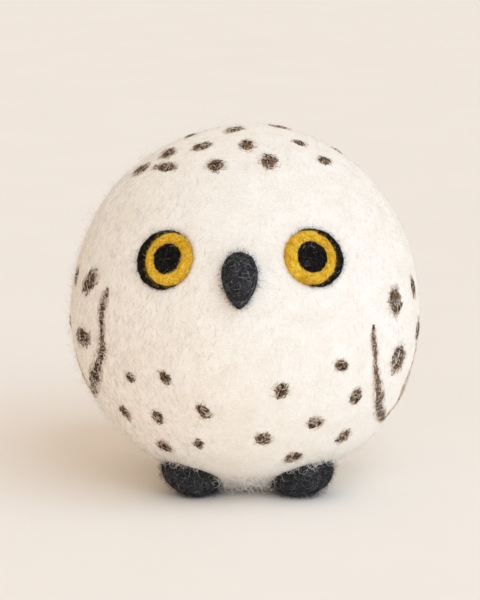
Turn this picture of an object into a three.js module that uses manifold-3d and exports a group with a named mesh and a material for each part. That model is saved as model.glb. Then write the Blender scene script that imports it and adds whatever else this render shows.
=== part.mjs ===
// A felted wool ball toy for dogs, made as a round snowy owl. Millimetres, +Z up, the face towards -Y.
// It stands on its flat base with the origin under its middle. Left and right are as seen from the front.
// The ball is a core of matted wool inside a thick cover of white wool. Eyes, beak, feet, wing lines and
// spots are tufts of dyed wool needled into the cover, each in a seat of its own shape.

import * as THREE from 'three';
import { mergeVertices } from 'three/addons/utils/BufferGeometryUtils.js';
import Module from 'manifold-3d';

const wasm = await Module();
wasm.setup();

// The ball
const ballWidth = 100;
const ballHeight = 101;
const baseCut = 0.5;
const coverWall = 8;
const fitGap = 0.3;

// Where hand felting left the ball fuller or flatter: a direction, how far it spreads, and how much it
// rises as a share of the ball's width
const lumps = [
  { turn: 58, lift: 64, spread: 26, rise: 0.009 },
  { turn: 140, lift: 76, spread: 20, rise: 0.006 },
  { turn: 96, lift: -4, spread: 24, rise: -0.007 },
  { turn: 80, lift: -39, spread: 26, rise: 0.022 },
  { turn: -92, lift: 14, spread: 30, rise: -0.012 },
  { turn: -75, lift: -50, spread: 24, rise: 0.01 },
  { turn: 0, lift: -68, spread: 12, rise: 0.012 },
];

// Each eye: a black backing, a yellow ring set on it towards the beak, and a black pupil in the ring.
// The ring and the pupil have a share of the backing's width.
const eyes = [
  { side: 'left', turn: -26, lift: 24.5, towardsBeak: 1, ringShare: 0.89, pupilShare: 0.52 },
  { side: 'right', turn: 27.5, lift: 25.5, towardsBeak: -1, ringShare: 0.94, pupilShare: 0.55 },
];
const backingWidth = 16.8;
const backingDepth = 2.4;
const backingRise = 0.5;
const ringDepth = 0.6;
const ringRise = 1.1;
const ringShift = backingWidth * 0.1;
const pupilRise = 1.4;
const pupilShift = backingWidth * 0.065;
const pupilLift = 0.4;

// The beak, a teardrop with its point down
const beakTurn = 0.5;
const beakLift = 19.3;
const beakWidth = 9.8;
const beakHeight = 15.8;
const beakDepth = 2;
const beakRise = 4.5;
const beakRootWidth = 4;
const beakPoint = 0.55; // 0 gives an oval, 1 a sharp point

// The feet, flattened eggs under the front of the ball, tilted with their outer ends up
const feet = [
  { side: 'left', turn: -33.5, standOut: 1.2, tilt: 12 },
  { side: 'right', turn: 39.5, standOut: 2.8, tilt: -12 },
];
const footWidth = 18;
const footLength = 16;
const footHeight = 12;
const footRootWidth = 7;
const footRootRise = 2.5;

// Wool of the beak and feet is needled on through the cover, this far into the core
const rootHold = 3;

// Wing lines: a front line runs down to a point and a rear line runs back up, as [turn, lift, width]
const lineDepth = 2;
const lineRise = 0.15;
const wings = [
  {
    side: 'left',
    front: [
      [-47, 12.5, 1.6], [-48, 8, 2.8], [-49.5, 0, 2.4], [-49.5, -7, 3], [-57, -18, 3.4], [-69, -27, 1.6],
    ],
    rear: [[-68, -26.5, 1.4], [-77, -24.5, 1.8], [-86, -16.5, 1.8], [-94, -6, 1.5], [-101, 5, 1]],
  },
  {
    side: 'right',
    front: [
      [47, 2, 1.2], [47.5, -4, 1.9], [50, -12, 2.2], [55, -21, 3], [60.5, -30, 3.6], [71, -36, 1.8],
    ],
    rear: [[70, -36, 1.4], [78, -33, 1.8], [85, -23.5, 2], [93, -11, 1.6], [100, 1, 1]],
  },
];

// Spots of brown wool that the front shows, as [turn, lift, width, height, tilt]
const spotDepth = 2;
const spotRise = 0.25;
const spotGroups = [
  {
    name: 'crown_spot',
    spots: [
      [-35, 85, 5, 7, 0], [-91, 73, 4.5, 5, 0], [-40, 69.5, 6, 6, 0], [5, 71, 4.5, 6.5, 0],
      [58, 69, 3.8, 5, 0], [118, 77, 5, 6, 0], [-66, 63, 7, 6, -10], [-49, 57, 8, 4.6, -10],
      [-16, 60, 5.5, 5.5, 0], [18, 61.5, 5, 7, 10], [57.5, 58.5, 5.2, 4.6, 0], [103, 58.5, 5, 4.5, 0],
      [-72, 53.5, 7.5, 5.5, 20],
    ],
  },
  {
    name: 'left_wing_spot',
    spots: [
      [-60.5, 13.5, 8.5, 7.5, 25], [-62.5, -5, 9, 6.5, 0], [-73, 12.5, 4.5, 6.5, 0], [-80, -4, 4, 4.5, 0],
    ],
  },
  {
    name: 'right_wing_spot',
    spots: [
      [60, 7.5, 8, 8.8, 0], [62, -11.5, 8.3, 8.3, 0], [77, 9.5, 5.5, 7, 0], [82.5, -6, 5.5, 7.5, 0],
    ],
  },
  {
    name: 'belly_spot',
    spots: [
      [-37.5, -14, 3.5, 3.5, 0], [-23.5, -12.5, 4, 4.5, 30], [-46, -28.5, 4.5, 5, 30],
      [-30, -27.5, 4, 4.5, 25], [-11.5, -23.5, 4, 5, 40], [-32.5, -40.5, 5, 4, -20],
      [-16, -37.5, 3, 4, 0], [34, -9, 4, 3.5, 0], [14, -15, 3.5, 4, 0], [42.5, -20.5, 4.5, 5, -25],
      [28, -29, 5, 4, 0], [9, -34.5, 4.5, 4.5, 0], [45, -38, 6, 5.5, -20], [25.5, -46.5, 5, 5.5, -20],
    ],
  },
];

// The back, which the front hides, has rows of like spots
const backRows = [
  { lift: 50, count: 4, from: 112, to: 248 },
  { lift: 26, count: 4, from: 120, to: 240 },
  { lift: 2, count: 4, from: 112, to: 248 },
];
const backSpotWidth = 6;
const backSpotHeight = 6.5;

// How finely round shapes are divided
const ballSides = 40;
const ballRings = 20;
const coreSides = 24;
const coreRings = 12;
const footSides = 20;
const footRings = 12;
const eyeSides = 24;
const beakSides = 20;
const spotSides = 8;
const rootSides = 10;
const lineSteps = 9;

const degree = Math.PI / 180;
const upwards = new THREE.Vector3(0, 0, 1);
const ballMiddle = new THREE.Vector3(0, 0, ballHeight / 2 - baseCut);

// turn goes round the ball from the face towards +X, lift goes up from its widest level, both in degrees
function direction(turn, lift) {
  const level = Math.cos(lift * degree);
  return new THREE.Vector3(
    Math.sin(turn * degree) * level,
    -Math.cos(turn * degree) * level,
    Math.sin(lift * degree),
  );
}

// How far the ball's surface lies from its middle in a direction
function surfaceRadius(out) {
  const across = Math.hypot(out.x, out.y) / (ballWidth / 2);
  const along = out.z / (ballHeight / 2);
  let radius = 1 / Math.hypot(across, along);
  for (const { turn, lift, spread, rise } of lumps) {
    const away = out.angleTo(direction(turn, lift)) / (spread * degree);
    radius += ballWidth * rise * Math.exp(-away * away);
  }
  return radius;
}

// The point at a height above the surface, in any direction from the ball's middle
function pointOnBall(towards, height) {
  const out = towards.clone().normalize();
  return out.multiplyScalar(surfaceRadius(out) + height).add(ballMiddle);
}

// A site on the surface, with its own directions out of the ball, to the right and up
function siteTowards(towards) {
  const out = towards.clone().normalize();
  const right = new THREE.Vector3().crossVectors(upwards, out).normalize();
  const up = new THREE.Vector3().crossVectors(out, right);
  return { out, right, up };
}

function siteAt(turn, lift) {
  return siteTowards(direction(turn, lift));
}

// The direction from the ball's middle to a point beside a site
function beside(site, right, up) {
  return site.out
    .clone()
    .multiplyScalar(surfaceRadius(site.out))
    .addScaledVector(site.right, right)
    .addScaledVector(site.up, up);
}

// Outlines: a share of the full size, grown by a clearance, as points to the right and up of a site
function oval(width, height, tilt, sides) {
  const cosTilt = Math.cos(tilt * degree);
  const sinTilt = Math.sin(tilt * degree);
  return (share, grow) =>
    Array.from({ length: sides }, (_, index) => {
      const angle = (index / sides) * 2 * Math.PI;
      const right = ((width / 2) * share + grow) * Math.cos(angle);
      const up = ((height / 2) * share + grow) * Math.sin(angle);
      return [right * cosTilt - up * sinTilt, right * sinTilt + up * cosTilt];
    });
}

function teardrop(width, height, point, sides) {
  const cosWidest = point / (2 + point);
  const widest = Math.sqrt(1 - cosWidest ** 2) * ((1 + cosWidest) / 2) ** (point / 2);
  return (share, grow) =>
    Array.from({ length: sides }, (_, index) => {
      const angle = (index / sides) * 2 * Math.PI;
      const narrowing = Math.abs(Math.cos((angle - Math.PI / 2) / 2)) ** point / widest;
      const halfWidth = (width / 2) * share * narrowing + grow;
      return [halfWidth * Math.cos(angle), ((height / 2) * share + grow) * Math.sin(angle)];
    });
}

// A closed skin over rings of points, where a ring of one point closes an end.
// Each ring's points run anticlockwise about the way from one ring to the next.
function closeRings(rings) {
  const corners = rings.flat();
  const faces = [];
  let start = 0;
  for (let level = 1; level < rings.length; level += 1) {
    const low = rings[level - 1].length;
    const high = rings[level].length;
    const sides = Math.max(low, high);
    for (let index = 0; index < sides; index += 1) {
      const next = (index + 1) % sides;
      const lowHere = start + (low === 1 ? 0 : index);
      const lowNext = start + (low === 1 ? 0 : next);
      const highHere = start + low + (high === 1 ? 0 : index);
      const highNext = start + low + (high === 1 ? 0 : next);
      if (low > 1) faces.push(lowHere, lowNext, highNext);
      if (high > 1) faces.push(lowHere, highNext, highHere);
    }
    start += low;
  }
  const geometry = new THREE.BufferGeometry().setFromPoints(corners);
  geometry.setIndex(faces);
  return geometry;
}

// A closed piece of felt at a site. Its profile runs from the root up to the crown, starts and ends on
// the piece's own middle line, and gives [share of the outline, height above the ball's surface].
function feltPiece({ site, outline, profile }, grow = 0) {
  const rings = profile.map(([share, height]) => {
    const level = height < 0 ? height - grow : height + grow;
    const points = share === 0 ? [[0, 0]] : outline(share, grow);
    return points.map(([right, up]) => pointOnBall(beside(site, right, up), level));
  });
  return closeRings(rings);
}

// A strand of felt let into the surface along [turn, lift, width] points, grown at its ends as well
function feltStrand(points, grow = 0) {
  const path = new THREE.CatmullRomCurve3(points.map((point) => new THREE.Vector3(...point)));
  const steps = path.getPoints(lineSteps);
  const middles = steps.map(({ x, y }) => direction(x, y).multiplyScalar(surfaceRadius(direction(x, y))));
  const rings = steps.map(({ z: width }, index) => {
    const ahead = middles[Math.min(index + 1, lineSteps)];
    const behind = middles[Math.max(index - 1, 0)];
    const along = ahead.clone().sub(behind).normalize();
    const side = new THREE.Vector3().crossVectors(along, middles[index]).normalize();
    const middle = middles[index].clone();
    if (index === 0) middle.addScaledVector(along, -grow);
    if (index === lineSteps) middle.addScaledVector(along, grow);
    const corner = (sideways, height) =>
      pointOnBall(middle.clone().addScaledVector(side, sideways * (width / 2 + grow)), height);
    const top = lineRise + grow;
    const bottom = -lineDepth - grow;
    return [corner(1, top), corner(1, bottom), corner(-1, bottom), corner(-1, top)];
  });
  const endOf = (ring) => [ring[0].clone().add(ring[2]).divideScalar(2)];
  return closeRings([endOf(rings[0]), ...rings, endOf(rings[lineSteps])]);
}

// The whole ball, drawn in by an inset
function ball(inset, sides, rings) {
  const geometry = new THREE.SphereGeometry(1, sides, rings).rotateX(Math.PI / 2);
  const corners = geometry.attributes.position;
  const corner = new THREE.Vector3();
  for (let index = 0; index < corners.count; index += 1) {
    corner.fromBufferAttribute(corners, index);
    corners.setXYZ(index, ...pointOnBall(corner, -inset).toArray());
  }
  return geometry;
}

// Solids for cutting and joining
function toSolid(geometry) {
  geometry.deleteAttribute('normal');
  geometry.deleteAttribute('uv');
  const merged = mergeVertices(geometry);
  return new wasm.Manifold(
    new wasm.Mesh({
      numProp: 3,
      vertProperties: new Float32Array(merged.attributes.position.array),
      triVerts: new Uint32Array(merged.index.array),
    }),
  );
}

function toGeometry(solid) {
  const { vertProperties, triVerts } = solid.getMesh();
  const geometry = new THREE.BufferGeometry();
  geometry.setAttribute('position', new THREE.BufferAttribute(vertProperties, 3));
  geometry.setIndex(new THREE.BufferAttribute(triVerts, 1));
  geometry.computeVertexNormals();
  return geometry;
}

// Everything below the floor, which the base and the feet are cut flat by
const floorSpan = ballWidth * 2;
const belowFloor = toSolid(
  new THREE.BoxGeometry(floorSpan, floorSpan, floorSpan).translate(0, 0, -floorSpan / 2),
);

// Wool colours
const wool = {
  white: '#f3ebde',
  core: '#d8cbb4',
  black: '#141214',
  yellow: '#e3ab28',
  charcoal: '#303136',
  brown: '#6b5a4c',
};

const owl = new THREE.Group();

function addPiece(name, solid, colour) {
  const material = new THREE.MeshStandardMaterial({ color: colour, roughness: 0.95, metalness: 0 });
  const mesh = new THREE.Mesh(toGeometry(solid), material);
  mesh.name = name;
  owl.add(mesh);
}

// Seats cut in the cover, and in the core for the roots that reach it
const coverSeats = [];
const coreSeats = [];

// Eyes
for (const { side, turn, lift, towardsBeak, ringShare, pupilShare } of eyes) {
  const eyeSite = siteAt(turn, lift);
  const ringWidth = backingWidth * ringShare;
  const pupilWidth = backingWidth * pupilShare;
  const backing = {
    site: eyeSite,
    outline: oval(backingWidth, backingWidth, 0, eyeSides),
    profile: [[0, -backingDepth], [0.85, -backingDepth], [1, 0], [0.97, backingRise], [0, backingRise]],
  };
  const ring = {
    site: siteTowards(beside(eyeSite, towardsBeak * ringShift, 0)),
    outline: oval(ringWidth, ringWidth, 0, eyeSides),
    profile: [[0, -ringDepth], [1, -ringDepth], [1, ringRise * 0.6], [0.9, ringRise], [0, ringRise]],
  };
  const pupil = {
    site: siteTowards(beside(eyeSite, towardsBeak * pupilShift, pupilLift)),
    outline: oval(pupilWidth, pupilWidth, 0, eyeSides),
    profile: [
      [0, -ringDepth], [1, -ringDepth], [1, pupilRise * 0.6], [0.7, pupilRise * 0.9], [0, pupilRise],
    ],
  };
  const ringSeat = toSolid(feltPiece(ring, fitGap));
  const pupilSeat = toSolid(feltPiece(pupil, fitGap));
  addPiece(`${side}_eye_backing`, toSolid(feltPiece(backing)).subtract(ringSeat), wool.black);
  addPiece(`${side}_eye_ring`, toSolid(feltPiece(ring)).subtract(pupilSeat), wool.yellow);
  addPiece(`${side}_eye_pupil`, toSolid(feltPiece(pupil)), wool.black);
  coverSeats.push(toSolid(feltPiece(backing, fitGap)), ringSeat);
}

// Beak
const rootDepth = coverWall + rootHold;
const beakRootShare = beakRootWidth / beakWidth;
const beak = {
  site: siteAt(beakTurn, beakLift),
  outline: teardrop(beakWidth, beakHeight, beakPoint, beakSides),
  profile: [
    [0, -rootDepth],
    [beakRootShare, -rootDepth],
    [beakRootShare, -beakDepth],
    [0.9, -beakDepth],
    [1, 0],
    [0.98, beakRise * 0.2],
    [0.84, beakRise * 0.6],
    [0.56, beakRise * 0.87],
    [0.26, beakRise * 0.98],
    [0, beakRise],
  ],
};
const beakSeat = toSolid(feltPiece(beak, fitGap));
addPiece('beak', toSolid(feltPiece(beak)), wool.charcoal);
coverSeats.push(beakSeat);
coreSeats.push(beakSeat);

// Feet, cut by the ball that rests on them
const ballAndGap = toSolid(ball(-fitGap, ballSides, ballRings));
const footMiddle = footHeight / 2 - baseCut;
for (const { side, turn, standOut, tilt } of feet) {
  const drop = (footMiddle - ballMiddle.z) / (ballHeight / 2);
  const reach = (ballWidth / 2) * Math.sqrt(1 - drop * drop) + standOut;
  const middle = direction(turn, 0).multiplyScalar(reach).setZ(footMiddle);
  const egg = new THREE.SphereGeometry(0.5, footSides, footRings)
    .rotateX(Math.PI / 2)
    .scale(footWidth, footLength, footHeight)
    .rotateY(tilt * degree)
    .translate(middle.x, middle.y, middle.z);
  const root = {
    site: siteTowards(middle.clone().sub(ballMiddle)),
    outline: oval(footRootWidth, footRootWidth, 0, rootSides),
    profile: [[0, -rootDepth], [0.7, -rootDepth], [1, footRootRise], [0, footRootRise]],
  };
  const foot = toSolid(egg).subtract(ballAndGap).subtract(belowFloor).add(toSolid(feltPiece(root)));
  const rootSeat = toSolid(feltPiece(root, fitGap));
  addPiece(`${side}_foot`, foot, wool.charcoal);
  coverSeats.push(rootSeat);
  coreSeats.push(rootSeat);
}

// Wing lines
for (const { side, front, rear } of wings) {
  const lines = toSolid(feltStrand(front)).add(toSolid(feltStrand(rear)));
  addPiece(`${side}_wing_line`, lines, wool.brown);
  coverSeats.push(toSolid(feltStrand(front, fitGap)), toSolid(feltStrand(rear, fitGap)));
}

// Spots, with the rows on the back
const backSpots = backRows.flatMap(({ lift, count, from, to }) =>
  Array.from({ length: count }, (_, index) => {
    const turn = from + ((to - from) * index) / (count - 1);
    return [turn, lift, backSpotWidth, backSpotHeight, 0];
  }),
);
for (const { name, spots } of [...spotGroups, { name: 'back_spot', spots: backSpots }]) {
  spots.forEach(([turn, lift, width, height, tilt], index) => {
    const tuft = {
      site: siteAt(turn, lift),
      outline: oval(width, height, tilt, spotSides),
      profile: [[0, -spotDepth], [0.6, -spotDepth], [1, spotRise / 2], [0, spotRise]],
    };
    addPiece(`${name}_${index + 1}`, toSolid(feltPiece(tuft)), wool.brown);
    coverSeats.push(toSolid(feltPiece(tuft, fitGap)));
  });
}

// The cover, hollow for the core and open at the roots of the beak and feet
const cavity = toSolid(ball(coverWall, coreSides, coreRings));
const cover = toSolid(ball(0, ballSides, ballRings))
  .subtract(belowFloor)
  .subtract(cavity)
  .subtract(wasm.Manifold.union(coverSeats));
addPiece('white_cover', cover, wool.white);

// The core
const core = toSolid(ball(coverWall + fitGap, coreSides, coreRings)).subtract(
  wasm.Manifold.union(coreSeats),
);
addPiece('wool_core', core, wool.core);

export default owl;
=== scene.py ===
# %% [markdown]
# # A felted wool ball for dogs, made as a snowy owl
# The toy is a ball of matted white wool about 100 mm across. Its eyes, beak, feet, wing lines and spots are
# tufts of dyed wool, pushed into the white with a barbed needle until the fibres lock. The whole lesson is
# about felt: a soft rounded form first, then its matted colour, and last thousands of single fibres.
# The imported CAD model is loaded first. It stays where it is, and every piece made here is put around it.

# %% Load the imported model
import math

import bpy
import numpy as np
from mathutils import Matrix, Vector, noise


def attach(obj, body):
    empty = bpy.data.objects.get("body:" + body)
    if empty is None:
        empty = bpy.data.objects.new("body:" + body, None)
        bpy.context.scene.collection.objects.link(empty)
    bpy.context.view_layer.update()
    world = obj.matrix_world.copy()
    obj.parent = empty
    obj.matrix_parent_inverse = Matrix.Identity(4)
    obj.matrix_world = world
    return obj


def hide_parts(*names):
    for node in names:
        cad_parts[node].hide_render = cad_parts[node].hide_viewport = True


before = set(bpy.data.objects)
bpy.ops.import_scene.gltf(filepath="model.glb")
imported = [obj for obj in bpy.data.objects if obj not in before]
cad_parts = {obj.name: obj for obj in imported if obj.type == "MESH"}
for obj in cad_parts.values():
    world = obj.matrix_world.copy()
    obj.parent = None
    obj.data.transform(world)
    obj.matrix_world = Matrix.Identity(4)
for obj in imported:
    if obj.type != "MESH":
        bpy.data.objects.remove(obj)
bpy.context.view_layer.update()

MM = 0.001  # Blender works in metres, and this toy is easier to think of in millimetres

# %% [markdown]
# ## The camera
# The photograph was taken from a little above and almost straight in front, with a long lens, so the ball
# hardly widens towards the camera. The ball's own middle is the point to measure from. The camera looks at
# a point just beside it, which puts the ball a few pixels right of and below the middle of the picture.

# %% Place the camera
BALL_WIDTH = 100
BALL_HEIGHT = 101
BASE_CUT = 0.5  # the ball's underside is pressed flat on the floor this much
BALL_MIDDLE = np.array([0, 0, BALL_HEIGHT / 2 - BASE_CUT])

CAMERA_TURN = math.radians(2)
CAMERA_LIFT = math.radians(12)
CAMERA_AWAY = 700
SENSOR = 36  # the height of the picture in the camera
LENS = 147.8
BESIDE_THE_BALL = -1.1  # how far beside the ball's middle the camera looks
ABOVE_THE_BALL = 1.3

towards_camera = Vector((
    math.sin(CAMERA_TURN) * math.cos(CAMERA_LIFT),
    -math.cos(CAMERA_TURN) * math.cos(CAMERA_LIFT),
    math.sin(CAMERA_LIFT),
))
camera_right = Vector((0, 0, 1)).cross(towards_camera).normalized()
camera_up = towards_camera.cross(camera_right)
aim = Vector(BALL_MIDDLE) + camera_right * BESIDE_THE_BALL + camera_up * ABOVE_THE_BALL

lens = bpy.data.cameras.new("camera")
lens.sensor_fit = "VERTICAL"
lens.sensor_height = SENSOR
lens.lens = LENS
camera = bpy.data.objects.new("camera", lens)
bpy.context.collection.objects.link(camera)
camera.location = (aim + towards_camera * CAMERA_AWAY) * MM
camera.rotation_euler = towards_camera.to_track_quat("Z", "Y").to_euler()
bpy.context.scene.camera = camera
print("camera at", [round(x, 3) for x in camera.location])

# %% [markdown]
# ## Small helpers for materials
# Colours are written as the hex values that a paint program shows, and one function turns them into the
# linear numbers that Blender calculates with. Another adds a node: it takes the kind, its settings, and
# what goes into its sockets, which may be a number or the output of another node.

# %% Colour and node helpers
def linear(hex_colour):
    """The linear RGBA colour of an sRGB hex value."""
    shares = [int(hex_colour[i:i + 2], 16) / 255 for i in (1, 3, 5)]
    return [s / 12.92 if s <= 0.04045 else ((s + 0.055) / 1.055) ** 2.4 for s in shares] + [1]


def add_node(tree, kind, settings=None, **sockets):
    """Adds a node. A socket is named by its identifier, with _ for a space, and gets a number or a link."""
    node = tree.nodes.new(kind)
    for name, value in (settings or {}).items():
        setattr(node, name, value)
    by_identifier = {s.identifier.replace(" ", "_"): s for s in node.inputs}
    for name, value in sockets.items():
        if isinstance(value, bpy.types.NodeSocket):
            tree.links.new(value, by_identifier[name])
        else:
            by_identifier[name].default_value = value
    return node


print("the grey #808080 is", round(linear("#808080")[0], 3), "in linear numbers")

# %% [markdown]
# ## Light
# The photograph was taken in a bright room of cream paper: light comes from everywhere, warm where it has
# bounced off the floor, and one large soft window stands to the right in front. A sun lamp with a wide angle
# gives the same soft shadow all over the floor, and the world's colour is the light from everywhere else.
# A ball's underside would be dull in that light, so a photographer stands strips of silvered card on the
# floor in front of it, just outside the picture. Two lamps stand for them, and they aren't seen themselves.
# Their spread is narrow, as from a mirror, so that they brighten the underside and little else.

# %% Add the lamps and the world
WINDOW_TURN, WINDOW_LIFT = 48, 44  # where the window stands, in degrees
WINDOW_WIDTH = math.radians(60)  # how much of the view it fills, which softens the shadow
CARD_LENGTH, CARD_HEIGHT = 200, 30


def direction(turn, lift):
    """The direction that is a turn from the front towards +X and a lift above the floor, in degrees."""
    turn, lift = math.radians(turn), math.radians(lift)
    return np.array([math.sin(turn) * math.cos(lift), -math.cos(turn) * math.cos(lift), math.sin(lift)])


def add_lamp(name, kind, energy, colour, place, aimed_at=(0, 0, 0)):
    """A lamp at a place in millimetres, which shines towards another place."""
    light = bpy.data.lights.new(name, kind)
    light.energy = energy
    light.color = linear(colour)[:3]
    lamp = bpy.data.objects.new(name, light)
    bpy.context.collection.objects.link(lamp)
    lamp.location = Vector(place) * MM
    lamp.rotation_euler = Vector(place - np.array(aimed_at)).to_track_quat("Z", "Y").to_euler()
    return lamp


window = add_lamp("soft_window", "SUN", 1.56, "#c2e1ff", direction(WINDOW_TURN, WINDOW_LIFT) * 1000)
window.data.angle = WINDOW_WIDTH
for name, energy, colour, place, aimed_at, spread in (
    ("left_card", 0.008, "#fff3f3", (-150, -220, 20), (-15, -30, 5), 60),
    ("right_card", 0.0176, "#c7e1ff", (240, -170, 20), (30, -30, 0), 50),
):
    card = add_lamp(name, "AREA", energy, colour, np.array(place), aimed_at)
    card.data.shape = "RECTANGLE"
    card.data.size, card.data.size_y = CARD_LENGTH * MM, CARD_HEIGHT * MM
    card.data.spread = math.radians(spread)
    card.visible_camera = False

world = bpy.data.worlds.new("cream_room")
world.use_nodes = True
room = world.node_tree.nodes["Background"]
room.inputs["Color"].default_value = linear("#ffefe0")
room.inputs["Strength"].default_value = 0.8
bpy.context.scene.world = world
bpy.context.scene.view_settings.view_transform = "Standard"

# %% [markdown]
# ## The floor
# The toy stands on smooth cream paper that runs on past the edges of the picture, so no horizon shows.
# Paper is not perfectly even: a faint cloudiness a few centimetres wide keeps it from looking like a
# computer's flat colour. One large sheet is enough, because nothing of it shows but its surface.

# %% Lay the paper
FLOOR_SPAN = 12000
PAPER_CLOUD = 60  # how wide a cloud in the paper is


def new_material(name, roughness):
    """A material with its node tree, its shader and the place of each point on the piece."""
    material = bpy.data.materials.new(name)
    material.use_nodes = True
    tree = material.node_tree
    shader = tree.nodes["Principled BSDF"]
    shader.inputs["Roughness"].default_value = roughness
    place = add_node(tree, "ShaderNodeTexCoord").outputs["Object"]
    return material, tree, shader, place


# Cream paper, uncoated: dull, and very slightly cloudy
floor_paper, tree, shader, place = new_material("cream_paper", roughness=0.9)
shader.inputs["Specular IOR Level"].default_value = 0.2
clouds = add_node(tree, "ShaderNodeTexNoise", Vector=place, Scale=1 / (PAPER_CLOUD * MM), Detail=3)
paper_colours = add_node(tree, "ShaderNodeValToRGB", Fac=clouds.outputs["Fac"])
paper_colours.color_ramp.elements[0].position = 0.3
paper_colours.color_ramp.elements[0].color = linear("#f1ebe2")
paper_colours.color_ramp.elements[1].position = 0.7
paper_colours.color_ramp.elements[1].color = linear("#f3ede4")
tree.links.new(paper_colours.outputs["Color"], shader.inputs["Base Color"])

half = FLOOR_SPAN / 2 * MM
floor_mesh = bpy.data.meshes.new("paper_floor")
corners = [(-half, -half, 0), (half, -half, 0), (half, half, 0), (-half, half, 0)]
floor_mesh.from_pydata(corners, [], [(0, 1, 2, 3)])
floor_mesh.materials.append(floor_paper)
floor = bpy.data.objects.new("paper_floor", floor_mesh)
bpy.context.collection.objects.link(floor)
print("paper:", FLOOR_SPAN / 1000, "m wide")

# %% [markdown]
# ## The shape that everything lies on
# Felt is worked by hand, so the ball isn't a perfect sphere: it is a little higher than wide, with a few
# places that are fuller or flatter. Every tuft has to lie on that same surface, so it is written once, as a
# rule: in a direction from the middle, this is how far away the surface is. The numbers are those of the
# CAD model, except that one fuller place at the lower left is left out, because a closer look at the
# photograph doesn't show it. A turn goes round from the face towards +X and a lift goes up from the widest
# level, both in degrees.

# %% The ball as a rule
LUMPS = [  # turn, lift, how far it spreads, how much it rises as a share of the ball's width
    (58, 64, 26, 0.009),
    (140, 76, 20, 0.006),
    (96, -4, 24, -0.007),
    (80, -39, 26, 0.022),
    (-92, 14, 30, -0.012),
    (0, -68, 12, 0.012),
]


def unit(vectors):
    """Rows of vectors, each made one long."""
    return vectors / np.linalg.norm(vectors, axis=-1, keepdims=True)


def surface_radius(out):
    """How far the surface lies from the ball's middle, in millimetres, for rows of directions."""
    across = np.hypot(out[..., 0], out[..., 1]) / (BALL_WIDTH / 2)
    radius = 1 / np.hypot(across, out[..., 2] / (BALL_HEIGHT / 2))
    for turn, lift, spread, rise in LUMPS:
        away = np.arccos(np.clip(out @ direction(turn, lift), -1, 1)) / math.radians(spread)
        radius += BALL_WIDTH * rise * np.exp(-away**2)
    return radius


def relief(points, waves):
    """Soft bumps for rows of points in millimetres. Each wave is (how long, how high) in millimetres."""
    heights = np.zeros(len(points))
    for length, height in waves:
        heights += height * np.array([noise.noise(Vector(p)) for p in points / length])
    return heights


FELT_WAVES = [(14, 0.28), (5, 0.1), (2, 0.045)]  # hand-worked unevenness, needle dents and matted fibres
FIBRE_ROOM = 0.15  # the matted fibres on top bring the ball back to its full size


def on_ball(towards, height=0):
    """Points at a height above the felt's bumpy surface, in any directions from the ball's middle."""
    out = unit(towards)
    level = surface_radius(out)
    level = level + relief(out * level[..., None], FELT_WAVES) + height - FIBRE_ROOM
    return out * level[..., None] + BALL_MIDDLE


print("the ball is", round(2 * surface_radius(direction(90, 0)[None])[0], 1), "mm wide at its right side")

# %% [markdown]
# ## Where the tufts are
# These tables are the plan of the owl. They began as the CAD model's own, and were then set against the
# photograph once more, which moved most tufts by a millimetre at most and the rear wing lines by more. A
# spot is [turn, lift, width, height, tilt], a point of a wing line is [turn, lift, width], and each tuft of
# an eye is (width, height, right, up), where the last two say how far it lies beside the eye's middle. The
# sizes are those of the felt itself, and the fibres that fray from it bring it to its full size. The back
# isn't seen in the photograph, so rows of like spots carry on round it.

# %% The owl's plan
BACK_ROWS = [(50, (112, 157.3, 202.7, 248)), (26, (120, 160, 200, 240)), (2, (112, 157.3, 202.7, 248))]
SPOTS = {
    "crown_spot": [
        [-34, 84.7, 5, 7.5, 5], [-91, 73, 4, 3.8, 0], [-39.8, 69.6, 5.8, 5.2, 0], [5, 71.1, 4.5, 6.5, 0],
        [58.4, 68.9, 3.4, 4.2, 0], [118, 77, 5, 6, 0], [-65.2, 62.8, 7.8, 5.2, -8], [-50, 57.2, 10.4, 3.8, 6],
        [-16, 60, 6.2, 5, -15], [17.6, 61.5, 5.2, 7, -5], [58.2, 58.6, 5, 3.6, 5], [104, 58.5, 3.4, 3, 0],
        [-71.3, 53.3, 7.4, 5.4, 16],
    ],
    "left_wing_spot": [
        [-59.3, 13.3, 10.8, 5.7, 38], [-62.8, -5.6, 11, 5.6, 15], [-75.2, 12.3, 4.4, 5.4, 0],
        [-84, -5, 3.4, 4, 0],
    ],
    "right_wing_spot": [
        [58.8, 7.8, 6.7, 8.8, -8], [61, -11.3, 8.6, 8, -8], [75.6, 9.5, 3.6, 5.8, 0], [80, -5.8, 5.5, 7, 0],
    ],
    "belly_spot": [
        [-37.6, -14, 3.3, 3.8, -6], [-23.8, -12.3, 4.9, 3.4, -41], [-46, -29, 4.4, 5.2, -8],
        [-30.3, -27.6, 3.9, 4.7, 10], [-11.6, -23.5, 3.8, 5.6, 30], [-33.4, -41.6, 5.6, 5.8, -20],
        [-16, -37.5, 2.9, 3.8, -8], [33.8, -8.9, 4.6, 4, -25], [13.9, -15.6, 4.3, 4.9, 10],
        [42.2, -20.5, 4.1, 5.4, 20], [28, -29.1, 5.7, 4.4, -14], [9.2, -34.5, 4.5, 5.5, 0],
        [44.6, -37, 4.8, 5.6, 8], [24.4, -45.4, 5.6, 5.6, -25],
    ],
    "back_spot": [[turn, lift, 6, 6.5, 0] for lift, turns in BACK_ROWS for turn in turns],
}
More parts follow.
